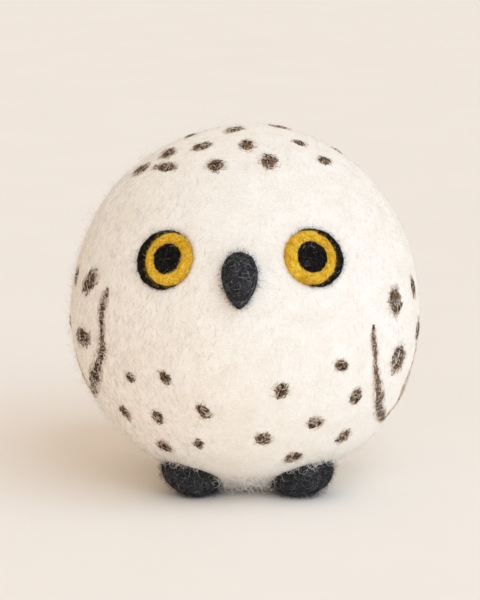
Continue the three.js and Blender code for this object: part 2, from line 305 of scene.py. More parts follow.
WING_LINES = {
    "left": (
        [
            [-47.6, 13.2, 1.4], [-48.4, 8.9, 2.6], [-49.3, 4.7, 2.5], [-49.1, 0.4, 2.1], [-49.3, -3.7, 2.3],
            [-49.3, -6.6, 3.4], [-52.1, -10.8, 2.8], [-55.3, -14.9, 3.6], [-59.4, -19.3, 3.8],
            [-64.4, -23.8, 2.6], [-70.3, -28.2, 1],
        ],
        [[-69, -27, 1], [-70.5, -24.5, 2], [-76, -22.5, 1.6], [-79, -18, 1.6], [-84, -14, 1.2], [-101, 5, 1]],
    ),
    "right": (
        [
            [46.7, 2.4, 0.8], [46.4, -1.8, 1.7], [47.5, -5.8, 1.6], [48.5, -10.6, 1.7], [50.4, -15.8, 2.1],
            [53.7, -21.5, 2.8], [57.3, -27.2, 3.1], [62.8, -31.8, 2.4], [67.5, -34.2, 1.2],
        ],
        [
            [67, -34, 1.2], [69.5, -31.5, 1.1], [73, -28.5, 0.7], [74, -26, 2.2], [74.5, -23.5, 3],
            [76.5, -21, 2], [79, -17, 0.7], [86, -9, 0.6], [98, 3, 0.6],
        ],
    ),
}
EYES = [  # side, turn, lift, backing, ring, pupil
    ("left", -26, 24.8, (16.7, 16.4, -0.35, 0), (13.5, 14.4, 1.4, 0.05), (8.5, 9.1, 0.55, 0.3)),
    ("right", 27.5, 25.7, (16.5, 16.2, -0.2, 0), (14.5, 14.7, -1.95, 0), (9.1, 9.2, -1.5, 0)),
]
BACKING_WIDTH = 16.8
BEAK_TURN = 0.5
BEAK_LIFT = 19.3
print("spots:", sum(len(rows) for rows in SPOTS.values()))

# %% [markdown]
# ## Sites on the ball
# Nobody works out the place of a spot in metres. A maker holds the ball with the spot towards themself, and
# works to the right, to the left, up and down from its middle. A site does the same: it is a direction out
# of the ball, with its own right and up along the surface, and it turns distances beside it into directions
# from the ball's middle and back.

# %% Make sites
class Site:
    """A place on the surface, with its directions out of the ball, to the right and up."""

    def __init__(self, towards):
        self.out = unit(np.asarray(towards, float))
        self.right = unit(np.cross([0, 0, 1], self.out))
        self.up = np.cross(self.out, self.right)
        self.radius = surface_radius(self.out[None])[0]

    def beside(self, right, up):
        """Directions to points beside the site, for rows of distances to the right and up."""
        right, up = np.asarray(right, float), np.asarray(up, float)
        return self.out * self.radius + right[..., None] * self.right + up[..., None] * self.up

    def offsets(self, out):
        """How far to the right and up of the site rows of directions point, in millimetres."""
        facing = np.maximum(out @ self.out, 0.2)
        return out @ self.right / facing * self.radius, out @ self.up / facing * self.radius


def site_at(turn, lift):
    """The site in a direction given in degrees."""
    return Site(direction(turn, lift))


print("the beak's site faces", np.round(site_at(BEAK_TURN, BEAK_LIFT).out, 2))

# %% [markdown]
# ## Felt, seen close
# Felt has no weave. Wool fibres about 0.03 mm thick lie in every direction and cross each other, and
# what the eye sees are thin strokes, a little lighter or darker, wherever a bundle comes to the surface.
# So the felt material stretches a noise texture into strokes along three directions and takes the
# brightest stroke at each point, like the fibre on top. The same strokes make the bump, so the colour is
# lighter on the high strokes and darker in the dips between them, which is painted shade; blotches add tone
# that is the wool's own. Real fibres are too fine for this picture, so strokes are drawn 0.25 mm wide.
# Felt is dull, and its fine hairs catch light at the edges, which is what the shader's sheen is for.

# %% Make the felt material
STROKE_WIDTH = 0.25 * MM
STROKE_LENGTH = 2.6 * MM
SWAY_LENGTH = 4 * MM  # strokes bend to and fro about this often
SWAY_REACH = 1.6 * MM
BLOTCH_SHARE = 0.35  # how much the blotches count beside the strokes
RAMP_CENTRE, RAMP_REACH = 0.78, 0.13  # the tones that most points have


def felt_material(name, dark, middle, light, sheen, cloud=6, contrast=1.0, bump_height=0.08):
    """Matted wool felt: its darkest colour lies in the dips between strokes as painted shade, its usual and
    lightest on the strokes, with blotches of a size in mm.
    """
    material, tree, shader, place = new_material(name, roughness=0.95)
    wander = add_node(tree, "ShaderNodeTexNoise", Vector=place, Scale=1 / SWAY_LENGTH, Detail=1)
    sway = add_node(
        tree, "ShaderNodeVectorMath", {"operation": "MULTIPLY_ADD"},
        Vector=wander.outputs["Color"], Vector_001=(SWAY_REACH,) * 3, Vector_002=place,
    )
    thin, long = 1 / STROKE_WIDTH, 1 / STROKE_LENGTH
    top = None
    # Three layers of strokes, each long in another direction and turned a little out of it
    for turn, scale in enumerate([(long, thin, thin), (thin, long, thin), (thin, thin, long)]):
        lay = add_node(
            tree, "ShaderNodeMapping", Vector=sway.outputs[0],
            Rotation=(0.5 * turn, 0.35 + 0.4 * turn, 0.6 - 0.5 * turn), Scale=scale,
        )
        stroke = add_node(tree, "ShaderNodeTexNoise", Vector=lay.outputs[0], Scale=1.0, Detail=1)
        stroke = stroke.outputs["Fac"]
        if top is not None:
            higher = add_node(tree, "ShaderNodeMath", {"operation": "MAXIMUM"}, Value=top, Value_001=stroke)
            stroke = higher.outputs[0]
        top = stroke
    blotches = add_node(tree, "ShaderNodeTexNoise", Vector=place, Scale=1 / (cloud * MM), Detail=2)
    tone = add_node(
        tree, "ShaderNodeMath", {"operation": "MULTIPLY_ADD"},
        Value=blotches.outputs["Fac"], Value_001=BLOTCH_SHARE, Value_002=top,
    )
    # painted shade: the colour ramp follows the stroke height that also drives the bump, so the dark colour
    # fills the dips
    colours = add_node(tree, "ShaderNodeValToRGB", Fac=tone.outputs[0])
    ramp = colours.color_ramp
    reach = RAMP_REACH / contrast
    ramp.elements[0].position, ramp.elements[0].color = RAMP_CENTRE - reach, linear(dark)
    ramp.elements[1].position, ramp.elements[1].color = RAMP_CENTRE + reach, linear(light)
    ramp.elements.new(RAMP_CENTRE).color = linear(middle)
    tree.links.new(colours.outputs["Color"], shader.inputs["Base Color"])
    bump = add_node(tree, "ShaderNodeBump", Strength=0.5, Distance=bump_height * MM, Height=top)
    tree.links.new(bump.outputs["Normal"], shader.inputs["Normal"])
    shader.inputs["Specular IOR Level"].default_value = 0.15
    shader.inputs["Sheen Weight"].default_value = sheen
    shader.inputs["Sheen Roughness"].default_value = 0.5
    shader.inputs["Sheen Tint"].default_value = linear(light)
    return material


print("strokes of", round(STROKE_WIDTH / MM, 2), "mm by", round(STROKE_LENGTH / MM, 2), "mm")

# %% [markdown]
# ## A single fibre, seen close
# A hair that stands out of felt is too thin to show a pattern along it. What the eye sees instead is that
# each hair has its own tone. So a fibre carries one number from 0 to 1, its tone, which picks its colour
# from the same three colours that the felt has: the darkest, the usual and the lightest.

# %% Make the fibre material
def fibre_material(name, dark, middle, light, sheen):
    """Single wool fibres. Each carries its own tone from 0 to 1, so no two neighbours look alike."""
    material, tree, shader, _ = new_material(name, roughness=0.85)
    tone = add_node(tree, "ShaderNodeAttribute", {"attribute_name": "tone"})
    colours = add_node(tree, "ShaderNodeValToRGB", Fac=tone.outputs["Fac"])
    ramp = colours.color_ramp
    ramp.elements[0].position, ramp.elements[0].color = 0.0, linear(dark)
    ramp.elements[1].position, ramp.elements[1].color = 1.0, linear(light)
    ramp.elements.new(0.5).color = linear(middle)
    tree.links.new(colours.outputs["Color"], shader.inputs["Base Color"])
    shader.inputs["Specular IOR Level"].default_value = 0.2
    shader.inputs["Sheen Weight"].default_value = sheen
    shader.inputs["Sheen Tint"].default_value = linear(light)
    return material


print("materials so far:", len(bpy.data.materials))

# %% [markdown]
# ## The wools
# The toy is made of seven wools. Each has a felt for its matted body and a fibre for the hairs that stand
# out of it, whose colours reach further apart, because one hair is lit by itself. The core never shows, but
# it has its own felt, as the real one has.

# %% Dye the wools
# Undyed white wool, wet-felted: cream in the dips between strokes, which is painted shade, and almost white
# on the high strokes; its hairs vary at random
white_felt = felt_material("undyed_wool_felt", "#efe6d8", "#f5efe4", "#faf6ee", sheen=0.12, bump_height=0.035)
white_fibre = fibre_material("undyed_wool_fibre", "#f4ecdf", "#f9f4ec", "#fdfaf5", sheen=0.12)
# Coarse, darker cream fibres: real where they lie across the brown tufts, and painted shade where they grow
# on the side away from the window
coarse_and_shade_fibre = fibre_material("coarse_wool_fibre", "#e4d3b9", "#f0e4d1", "#fcf7ed", sheen=0.1)
# Black wool, needle-felted: near black, with a few paler hairs that keep it from being a hole
black_felt = felt_material("black_wool_felt", "#060505", "#0e0c0c", "#262221", sheen=0.03)
black_fibre = fibre_material("black_wool_fibre", "#050404", "#0f0d0c", "#47413d", sheen=0.03)
# Golden yellow wool, needle-felted: its felt is orange in the dips between strokes, which is painted shade,
# and lemon on the high strokes; its hairs take those tones at random
yellow_felt = felt_material("golden_wool_felt", "#c98c12", "#efbf24", "#fcdd55", sheen=0.08)
yellow_fibre = fibre_material("golden_wool_fibre", "#c98c14", "#f2c52a", "#ffe972", sheen=0.08)
# Charcoal wool, needle-felted: soft grey black with slightly lighter strands all over
charcoal_felt = felt_material("charcoal_wool_felt", "#1e1e1f", "#2e2e30", "#48484b", sheen=0.1)
charcoal_fibre = fibre_material("charcoal_wool_fibre", "#161617", "#303032", "#747478", sheen=0.1)
# Brown wool, thinly needled: dark strands over a warm mid brown, with paler ends
brown_felt = felt_material(
    "brown_wool_felt", "#58402d", "#846a52", "#b89e84", sheen=0.05, cloud=1.5, contrast=0.8,
)
brown_fibre = fibre_material("brown_wool_fibre", "#130a06", "#382319", "#a17e62", sheen=0.04)
# Tan wool: brown wool so thinly spread that the white of the ball shines through it
tan_felt = felt_material("tan_wool_felt", "#b39c80", "#cfbb9f", "#e2d3bc", sheen=0.05, cloud=3)
tan_fibre = fibre_material("tan_wool_fibre", "#7a5a3d", "#b7946f", "#e8d4b6", sheen=0.05)
# Undyed core wool, never seen: coarser and more yellow than the cover
core_felt = felt_material("matted_core_wool", "#c9b996", "#d8cbb4", "#e6dcc8", sheen=0.1)
print("materials:", len(bpy.data.materials))

# %% [markdown]
# ## The white cover
# A felt ball starts as a firm core, which is wrapped in combed white wool and rolled until it shrinks
# tight. A sphere from Blender's menu would have poles where its faces crowd together. A cube whose faces
# are divided finely and then blown up to a ball has even faces everywhere, so the fine bumps of the felt
# look the same all over. The cover is a real wall: outside the bumpy felt, inside the cavity of the core.
# Two helpers come first. One divides the ball, and the other turns rows of points and faces into a piece.

# %% Divide a ball and make a piece
def cube_ball(divisions):
    """Even directions over a whole ball, and its four-cornered faces with their outer side out."""
    quads = []
    steps = np.arange(divisions)
    first, second = (grid.ravel() for grid in np.meshgrid(steps, steps, indexing="ij"))
    for axis in range(3):
        for side in (0, divisions):
            corners = np.zeros((divisions**2, 4, 3), int)
            corners[:, :, axis] = side
            for corner, (ahead, aside) in enumerate([(0, 0), (1, 0), (1, 1), (0, 1)]):
                corners[:, corner, (axis + 1) % 3] = first + ahead
                corners[:, corner, (axis + 2) % 3] = second + aside
            quads.append(corners if side else corners[:, ::-1])
    points, faces = np.unique(np.concatenate(quads).reshape(-1, 3), axis=0, return_inverse=True)
    return unit(np.tan((points / divisions - 0.5) * math.pi / 2)), faces.reshape(-1, 4)


def make_piece(name, points, faces, *materials):
    """A smooth-shaded piece from rows of points in millimetres, at the origin, with its place in its mesh."""
    mesh = bpy.data.meshes.new(name)
    mesh.from_pydata(np.asarray(points) * MM, [], [list(f) for f in faces])
    mesh.polygons.foreach_set("use_smooth", [True] * len(mesh.polygons))
    for material in materials:
        mesh.materials.append(material)
    piece = bpy.data.objects.new(name, mesh)
    bpy.context.collection.objects.link(piece)
    return piece


print("a ball of 10 divisions has", len(cube_ball(10)[1]), "faces")

# %% [markdown]
# ## Dents for the tufts
# A barbed needle pushes dyed wool into the white, and the white sinks with it. So the cover dips under each
# tuft, in an oval with a soft rim, and along the wing lines. The lines are given by a few points each, and
# a smooth curve through them gives as many as the dent needs. Such a curve also rounds the profiles below.

# %% Press the dents
SPOT_DENT, LINE_DENT, DEEP_DENT = 0.25, 0.2, 0.8
SPOT_SHARE, LINE_SHARE = 0.8, 0.7  # a dent is narrower than the wool that lies in it
BEAK_DENT_WIDTH, BEAK_DENT_HEIGHT = 8, 14
DENTS_ALONG_LINE = 40
RIM_END, RIM_WIDTH = 1.12, 0.35  # where a dent's soft rim ends, and how wide it is, in half widths


def seat(out, site, width, height, tilt, depth):
    """How far a tuft's seat lowers the surface, for rows of directions."""
    right, up = site.offsets(out)
    turned = math.radians(tilt)
    along = (right * math.cos(turned) + up * math.sin(turned)) / (width / 2)
    aside = (up * math.cos(turned) - right * math.sin(turned)) / (height / 2)
    away = np.where(out @ site.out > 0.9, np.hypot(along, aside), 9)
    share = np.clip((RIM_END - away) / RIM_WIDTH, 0, 1)
    return depth * share * share * (3 - 2 * share)


def smooth_rows(given_rows, steps):
    """Even steps along rows of numbers, on a curve that goes smoothly through them."""
    knots = np.array([given_rows[0], *given_rows, given_rows[-1]], float)
    rows = []
    for share in np.linspace(0, len(given_rows) - 1, steps):
        index = min(int(share), len(given_rows) - 2)
        t = share - index
        a, b, c, d = knots[index:index + 4]
        square, cube = 2 * a - 5 * b + 4 * c - d, 3 * b - a - 3 * c + d
        rows.append(0.5 * (2 * b + (c - a) * t + square * t**2 + cube * t**3))
    return np.array(rows)


COVER_DIVISIONS = 118
out, faces = cube_ball(COVER_DIVISIONS)
dip = np.zeros(len(out))
for rows in SPOTS.values():
    for turn, lift, width, height, tilt in rows:
        site = site_at(turn, lift)
        dip = np.maximum(dip, seat(out, site, width * SPOT_SHARE, height * SPOT_SHARE, tilt, SPOT_DENT))
for _, turn, lift, *_ in EYES:
    dip = np.maximum(dip, seat(out, site_at(turn, lift), BACKING_WIDTH, BACKING_WIDTH, 0, DEEP_DENT))
site = site_at(BEAK_TURN, BEAK_LIFT)
dip = np.maximum(dip, seat(out, site, BEAK_DENT_WIDTH, BEAK_DENT_HEIGHT, 0, DEEP_DENT))
for strands in WING_LINES.values():
    for strand in strands:
        for turn, lift, width in smooth_rows(strand, DENTS_ALONG_LINE):
            across = width * LINE_SHARE
            dip = np.maximum(dip, seat(out, site_at(turn, lift), across, across, 0, LINE_DENT))
outside = on_ball(out, -dip)
outside[:, 2] = np.maximum(outside[:, 2], 0)
print("dented points:", int((dip > 0).sum()), "of", len(out))

# %% [markdown]
# ## The core and the wall round it
# The cover is a closed wall with an outer and an inner skin, so it can be weighed or printed. The core lies
# in it with a small gap, and is lumpier, because it was only rolled by hand.

# %% Build the cover and the core
COVER_WALL = 8
CORE_GAP = 0.7  # a gap of 0.3 mm, and room for the core's lumps
CAVITY_DIVISIONS, CORE_DIVISIONS = 22, 36

cavity_out, cavity_faces = cube_ball(CAVITY_DIVISIONS)
cavity = cavity_out * (surface_radius(cavity_out) - COVER_WALL)[:, None] + BALL_MIDDLE
cover = make_piece(
    "white_cover_felt",
    np.concatenate([outside, cavity]),
    [*faces, *(cavity_faces[:, ::-1] + len(outside))],
    white_felt,
)

core_out, core_faces = cube_ball(CORE_DIVISIONS)
core_level = surface_radius(core_out) - COVER_WALL - CORE_GAP
core_points = core_out * core_level[:, None]
core_points = core_points * (1 + relief(core_points, [(9, 0.35), (3, 0.12)]) / core_level)[:, None]
core = make_piece("wool_core_felt", core_points + BALL_MIDDLE, core_faces, core_felt)
print("cover:", len(faces) + len(cavity_faces), "faces, core:", len(core_faces))

# %% [markdown]
# ## A machine for fibres
# Thousands of fibres are the natural job for Geometry Nodes. One tree makes every kind in this lesson,
# from hairs matted flat on the felt to loose curls that stand out of it. Its inputs are the words in which
# a felter would describe wool. It scatters roots, puts a straight hair on each, bends it, pulls it down
# where it should hug the felt, and makes it thick. A few short functions save writing out its many sums.

# %% Begin the fibre tree
FIBRE_INPUTS = {
    "Density": ("NodeSocketFloat", 1e6),  # fibres on each square metre, so 1e6 is one on each mm2
    "Seed": ("NodeSocketInt", 1),
    "Length": ("NodeSocketFloat", 3 * MM),
    "Length spread": ("NodeSocketFloat", 0.35),  # share of the length
    "Thickness": ("NodeSocketFloat", 0.15 * MM),
    "Heading": ("NodeSocketFloat", 0.0),  # radians, 0 is up or down along the surface
    "Heading spread": ("NodeSocketFloat", math.pi),
    "Lean": ("NodeSocketFloat", math.pi / 2),  # radians, 0 stands straight up and pi/2 lies flat
    "Lean spread": ("NodeSocketFloat", 0.0),
    "Middle": ("NodeSocketFloat", 0.5),  # which share of the fibre lies behind its root
    "Wave": ("NodeSocketFloat", 0.1),  # how far it sways, as a share of its length
    "Waves": ("NodeSocketFloat", 0.8),  # how many times it sways
    "Hug": ("NodeSocketFloat", 1.0),  # 1 is pulled down onto the surface, 0 is free
    "Height": ("NodeSocketFloat", 0.1 * MM),  # how high a hugging fibre lies at most
    "Sink": ("NodeSocketFloat", 0.15 * MM),  # how deep its ends go in
    "Pale": ("NodeSocketFloat", 0.0),  # how much paler all its fibres are
    "Pale rim": ("NodeSocketFloat", 0.0),  # how much paler still they are where few of them grow
    "Points": ("NodeSocketInt", 5),
    "Material": ("NodeSocketMaterial", None),
}
fibre_tree = bpy.data.node_groups.new("wool_fibres", "GeometryNodeTree")
fibre_tree.interface.new_socket("Surface", in_out="INPUT", socket_type="NodeSocketGeometry")
fibre_tree.interface.new_socket("Fibres", in_out="OUTPUT", socket_type="NodeSocketGeometry")
for name, (kind, default) in FIBRE_INPUTS.items():
    socket = fibre_tree.interface.new_socket(name, in_out="INPUT", socket_type=kind)
    if default is not None:
        socket.default_value = default


def add(kind, settings=None, **sockets):
    """Adds a node to the fibre tree."""
    return add_node(fibre_tree, kind, settings, **sockets)


def maths(operation, first, second=0.0, third=0.0):
    """A sum with one, two or three numbers."""
    numbers = {"Value": first, "Value_001": second, "Value_002": third}
    return add("ShaderNodeMath", {"operation": operation}, **numbers).outputs[0]


def vector(operation, first, second=(0, 0, 0)):
    """The same for vectors."""
    return add("ShaderNodeVectorMath", {"operation": operation}, Vector=first, Vector_001=second).outputs[0]


def times(first, share):
    """A vector made longer or shorter."""
    return add("ShaderNodeVectorMath", {"operation": "SCALE"}, Vector=first, Scale=share).outputs[0]


def chance(low, high, seed):
    """A random number for each root."""
    return add(
        "FunctionNodeRandomValue", {"data_type": "FLOAT"}, Min_001=low, Max_001=high,
        Seed=maths("ADD", given["Seed"], seed),
    ).outputs[1]


def remembered(name, kind="FLOAT"):
    """A number or vector that each point carries."""
    return add("GeometryNodeInputNamedAttribute", {"data_type": kind}, Name=name).outputs["Attribute"]


given = add("NodeGroupInput").outputs
print("inputs of the fibre tree:", len(FIBRE_INPUTS))

# %% [markdown]
# ## The roots
# Points are scattered where the surface's growth is above 0, and where it is lower, fewer of them. Each
# root draws its own length, sway, curl and tone, and its fibre keeps them, so no two fibres are alike.

# %% Scatter the roots
surface = given["Surface"]
growth = remembered("growth")
roots = add(
    "GeometryNodeDistributePointsOnFaces", Mesh=surface, Seed=given["Seed"],
    Density=maths("MULTIPLY", given["Density"], growth),
)
shorter = maths("SUBTRACT", 1.0, given["Length spread"])
longer = maths("ADD", 1.0, given["Length spread"])
length = maths("MULTIPLY", given["Length"], chance(shorter, longer, 11))
points = roots.outputs["Points"]
paler = maths("MULTIPLY_ADD", given["Pale rim"], maths("SUBTRACT", 1.0, growth), given["Pale"])
for name, kind, value in (
    ("fibre_length", "FLOAT", length),
    ("fibre_phase", "FLOAT", chance(0.0, 2 * math.pi, 12)),
    ("fibre_sway", "FLOAT", chance(0.2, 1.0, 13)),
    ("fibre_curl", "FLOAT", chance(0.3, 1.7, 18)),
    ("fibre_level", "FLOAT", chance(0.15, 1.0, 14)),
    ("tone", "FLOAT", maths("MINIMUM", maths("ADD", chance(0.0, 1.0, 15), paler), 1.0)),
    ("fibre_out", "FLOAT_VECTOR", roots.outputs["Normal"]),
):
    points = add(
        "GeometryNodeStoreNamedAttribute", {"data_type": kind, "domain": "POINT"},
        Geometry=points, Name=name, Value=value,
    ).outputs[0]
print("nodes for the roots:", len(fibre_tree.nodes))

# %% [markdown]
# ## A straight hair on each root
# A hair is one line, divided so that it can bend. It stands on its root, is turned to its heading, as wool
# is combed one way, and leans over, as far as flat on the felt.

# %% Set straight hairs
hair = add("GeometryNodeCurvePrimitiveLine", End=(0, 0, 1))
hair = add("GeometryNodeResampleCurve", Curve=hair.outputs[0], Count=given["Points"])
combed = add(
    "FunctionNodeAxesToRotation", {"primary_axis": "Z", "secondary_axis": "Y"},
    Primary_Axis=roots.outputs["Normal"], Secondary_Axis=(0, 0, 1),
)
heading = maths("ADD", given["Heading"], maths("MULTIPLY", given["Heading spread"], chance(-1.0, 1.0, 16)))
lean = maths("ADD", given["Lean"], maths("MULTIPLY", given["Lean spread"], chance(-1.0, 1.0, 17)))
rotation = combed.outputs[0]
for axis, angle in (("Z", heading), ("X", lean)):
    angles = add("ShaderNodeCombineXYZ", **{axis: angle}).outputs[0]
    turned = add("FunctionNodeEulerToRotation", Euler=angles).outputs[0]
    rotation = add(
        "FunctionNodeRotateRotation", {"rotation_space": "LOCAL"}, Rotation=rotation, Rotate_By=turned,
    ).outputs[0]
hairs = add(
    "GeometryNodeInstanceOnPoints", Points=points, Instance=hair.outputs[0], Rotation=rotation,
    Scale=add("ShaderNodeCombineXYZ", X=length, Y=length, Z=length).outputs[0],
)
hairs = add("GeometryNodeRealizeInstances", Geometry=hairs.outputs[0]).outputs[0]
print("nodes with straight hairs:", len(fibre_tree.nodes))

# %% [markdown]
# ## Bend it
# A sheep's wool is crimped, so a hair sways in waves in two ways, aside and above. Each wave starts from
# the root's own phase, and what it has there is taken off, so that the hair still starts at its root.

# %% Bend the hairs
share = add("GeometryNodeSplineParameter").outputs["Factor"]
here = add("GeometryNodeInputPosition").outputs[0]
along = add("GeometryNodeInputTangent").outputs[0]
aside = vector("NORMALIZE", vector("CROSS_PRODUCT", along, remembered("fibre_out", "FLOAT_VECTOR")))
above = vector("CROSS_PRODUCT", aside, along)
size = remembered("fibre_length")
phase = remembered("fibre_phase")
curl = maths("MULTIPLY", maths("MULTIPLY", given["Waves"], 2 * math.pi), remembered("fibre_curl"))
turns = maths("MULTIPLY_ADD", share, curl, phase)
reach = maths("MULTIPLY", maths("MULTIPLY", size, given["Wave"]), remembered("fibre_sway"))
sway = maths("MULTIPLY", reach, maths("SUBTRACT", maths("SINE", turns), maths("SINE", phase)))
lift = maths("MULTIPLY", reach, maths("SUBTRACT", maths("COSINE", turns), maths("COSINE", phase)))
back = maths("MULTIPLY", maths("MULTIPLY", size, given["Middle"]), -1.0)
free = vector("ADD", here, times(along, back))
free = vector("ADD", free, vector("ADD", times(aside, sway), times(above, lift)))
print("nodes with bent hairs:", len(fibre_tree.nodes))

# %% [markdown]
# ## Pull it down onto the felt
# A matted hair hugs the felt: its middle lies on top, its ends go in. The nearest point of the surface and
# the way out of it there say where that is. A free hair stays as it was bent, and hug goes from one to the
# other. No hair goes through the floor that the toy stands on.

# %% Lay the hairs
nearest = add("GeometryNodeProximity", Target=surface, Source_Position=free).outputs["Position"]
out_there = add(
    "GeometryNodeSampleNearestSurface", {"data_type": "FLOAT_VECTOR"},
    Mesh=surface, Value=add("GeometryNodeInputNormal").outputs[0], Sample_Position=free,
).outputs[0]
ends = maths("POWER", maths("ABSOLUTE", maths("MULTIPLY_ADD", share, 2.0, -1.0)), 3.0)
level = maths("MULTIPLY", given["Height"], remembered("fibre_level"))
level = maths("SUBTRACT", level, maths("MULTIPLY", maths("ADD", given["Sink"], level), ends))
hugging = vector("ADD", nearest, times(out_there, level))
laid = add(
    "ShaderNodeMix", {"data_type": "VECTOR"}, Factor_Float=given["Hug"], A_Vector=free, B_Vector=hugging,
)
hairs = add("GeometryNodeSetPosition", Geometry=hairs, Position=laid.outputs[1]).outputs[0]
moved = add("ShaderNodeSeparateXYZ", Vector=add("GeometryNodeInputPosition").outputs[0]).outputs
above_floor = maths("MAXIMUM", moved["Z"], given["Thickness"])
hairs = add(
    "GeometryNodeSetPosition", Geometry=hairs,
    Position=add("ShaderNodeCombineXYZ", X=moved["X"], Y=moved["Y"], Z=above_floor).outputs[0],
).outputs[0]
print("nodes with laid hairs:", len(fibre_tree.nodes))

# %% [markdown]
# ## Give it its thickness
# Three sides are enough for something so thin. It is finer towards its ends, and closed there. What the
# roots drew is taken away again, except the tone, which the material reads.

# %% Thicken the hairs
far = maths("DIVIDE", maths("SUBTRACT", share, given["Middle"]), maths("SUBTRACT", 1.0, given["Middle"]))
finer = maths("SUBTRACT", 1.0, maths("MULTIPLY", maths("POWER", maths("ABSOLUTE", far), 3.0), 0.8))
radius = maths("MULTIPLY", maths("MULTIPLY", given["Thickness"], 0.5), finer)
profile = add("GeometryNodeCurvePrimitiveCircle", Resolution=3, Radius=1.0)
fibres = add(
    "GeometryNodeCurveToMesh", Curve=hairs, Profile_Curve=profile.outputs[0], Scale=radius, Fill_Caps=True,
).outputs[0]
for name in ("fibre_length", "fibre_phase", "fibre_sway", "fibre_curl", "fibre_level", "fibre_out"):
    fibres = add("GeometryNodeRemoveAttribute", Geometry=fibres, Name=name).outputs[0]
fibres = add("GeometryNodeRealizeInstances", Geometry=fibres).outputs[0]
fibres = add("GeometryNodeSetMaterial", Geometry=fibres, Material=given["Material"]).outputs[0]
fibre_tree.links.new(fibres, add("NodeGroupOutput").inputs[0])
print("fibre tree:", len(fibre_tree.nodes), "nodes")

# %% [markdown]
# ## Grow fibres on a piece
# A modifier runs the tree on a piece's own mesh, and its result is kept as a plain piece, because nothing
# but finished meshes should leave this script. An attribute called growth says where fibres root.

# %% Grow, mark and join
def grow_fibres(surface, name, settings):
    """Grows fibres on a piece, where its growth is above 0, and returns them as a plain piece."""
    piece = bpy.data.objects.new(name, surface.data)
    bpy.context.collection.objects.link(piece)
    modifier = piece.modifiers.new("fibres", "NODES")
    modifier.node_group = fibre_tree
    for socket in fibre_tree.interface.items_tree:
        if socket.name in settings:
            modifier[socket.identifier] = settings[socket.name]
    depsgraph = bpy.context.evaluated_depsgraph_get()
    grown = bpy.data.meshes.new_from_object(
        piece.evaluated_get(depsgraph), preserve_all_data_layers=True, depsgraph=depsgraph
    )
    piece.modifiers.clear()
    piece.data = grown
    grown.name = name
    return piece


def set_growth(piece, shares):
    """Where fibres root on a piece: a share from 0 to 1 for each of its points."""
    attribute = piece.data.attributes.get("growth") or piece.data.attributes.new("growth", "FLOAT", "POINT")
    attribute.data.foreach_set("value", np.asarray(shares, np.float32))


def join_pieces(piece, others):
    """Joins other pieces into the first, which keeps its name."""
    with bpy.context.temp_override(active_object=piece, selected_editable_objects=[piece, *others]):
        bpy.ops.object.join()
    return piece


print("felt pieces that fibres can grow on:", cover.name, core.name)

# %% [markdown]
# ## A tuft
# A tuft is a closed pad, built as rings of points round its site. Its profile says how wide each ring is and
# how high it lies, from the middle of its top over its edge to its underside. The bumps of the felt and an
# uneven outline make it handmade. A tuft gives back which row of its profile each of its points belongs to,
# because that tells where its top ends and its edge begins.

# %% Make tufts
def oval(width, height, tilt=0):
    """An outline: for rows of angles, its points to the right and up of a site."""
    turned = math.radians(tilt)

    def points(angles):
        right, up = width / 2 * np.cos(angles), height / 2 * np.sin(angles)
        cosine, sine = math.cos(turned), math.sin(turned)
        return right * cosine - up * sine, right * sine + up * cosine

    return points


def tuft(name, site, outline, profile, material, sides=48, steps=24, uneven=0.02, seed=0, waves=None):
    """A closed pad of felt, and for each of its points which row of its profile it belongs to."""
    angles = np.linspace(0, 2 * math.pi, sides, endpoint=False)
    rows = smooth_rows(profile, steps)
    right, up = outline(angles)
    wobble = np.array([noise.noise(Vector((3 * math.cos(a), 3 * math.sin(a), seed * 7.3))) for a in angles])
    finer = np.array([noise.noise(Vector((9 * math.cos(a), 9 * math.sin(a), seed * 3.1))) for a in angles])
    wobble = 1 + uneven * (1.4 * wobble + finer)
    rings = [on_ball(site.beside(np.zeros(1), np.zeros(1)), rows[0][1])]
    for share, height in rows[1:-1]:
        rings.append(on_ball(site.beside(right * share * wobble, up * share * wobble), height))
    rings.append(on_ball(site.beside(np.zeros(1), np.zeros(1)), rows[-1][1]))
    points = np.concatenate(rings)
    if waves:
        points = points + site.out * relief(points + seed * 31.7, waves)[:, None]
    last = len(points) - 1
    faces = []
    for index in range(sides):
        following = (index + 1) % sides
        faces.append((0, 1 + index, 1 + following))
        for ring in range(steps - 3):
            low, high = 1 + ring * sides, 1 + (ring + 1) * sides
            faces.append((low + index, high + index, high + following, low + following))
        low = 1 + (steps - 3) * sides
        faces.append((low + index, last, low + following))
    row_of_point = np.repeat(np.linspace(0, len(profile) - 1, steps), [1] + [sides] * (steps - 2) + [1])
    return make_piece(name, points, faces, material), row_of_point


print("an oval 8 mm wide reaches", float(oval(8, 6)(np.zeros(1))[0][0]), "mm to the right")

# %% [markdown]
# ## The wool of a tuft
# The pad alone would look like clay. Three kinds of fibre make it wool: hairs of its own colour that lie
# matted on it, short ones that stand out of its edge, and a few white ones that the needle dragged across
# it. They are joined into the pad, so that a tuft stays one piece, and the CAD's piece that it stands for is
# hidden at once.

# %% Cover a tuft with fibres
def fuzz(piece, name, growth, *kinds):
    """Grows several kinds of fibres where a piece's growth is above 0."""
    set_growth(piece, growth)
    return [grow_fibres(piece, f"{name}_{index}", settings) for index, settings in enumerate(kinds, start=1)]


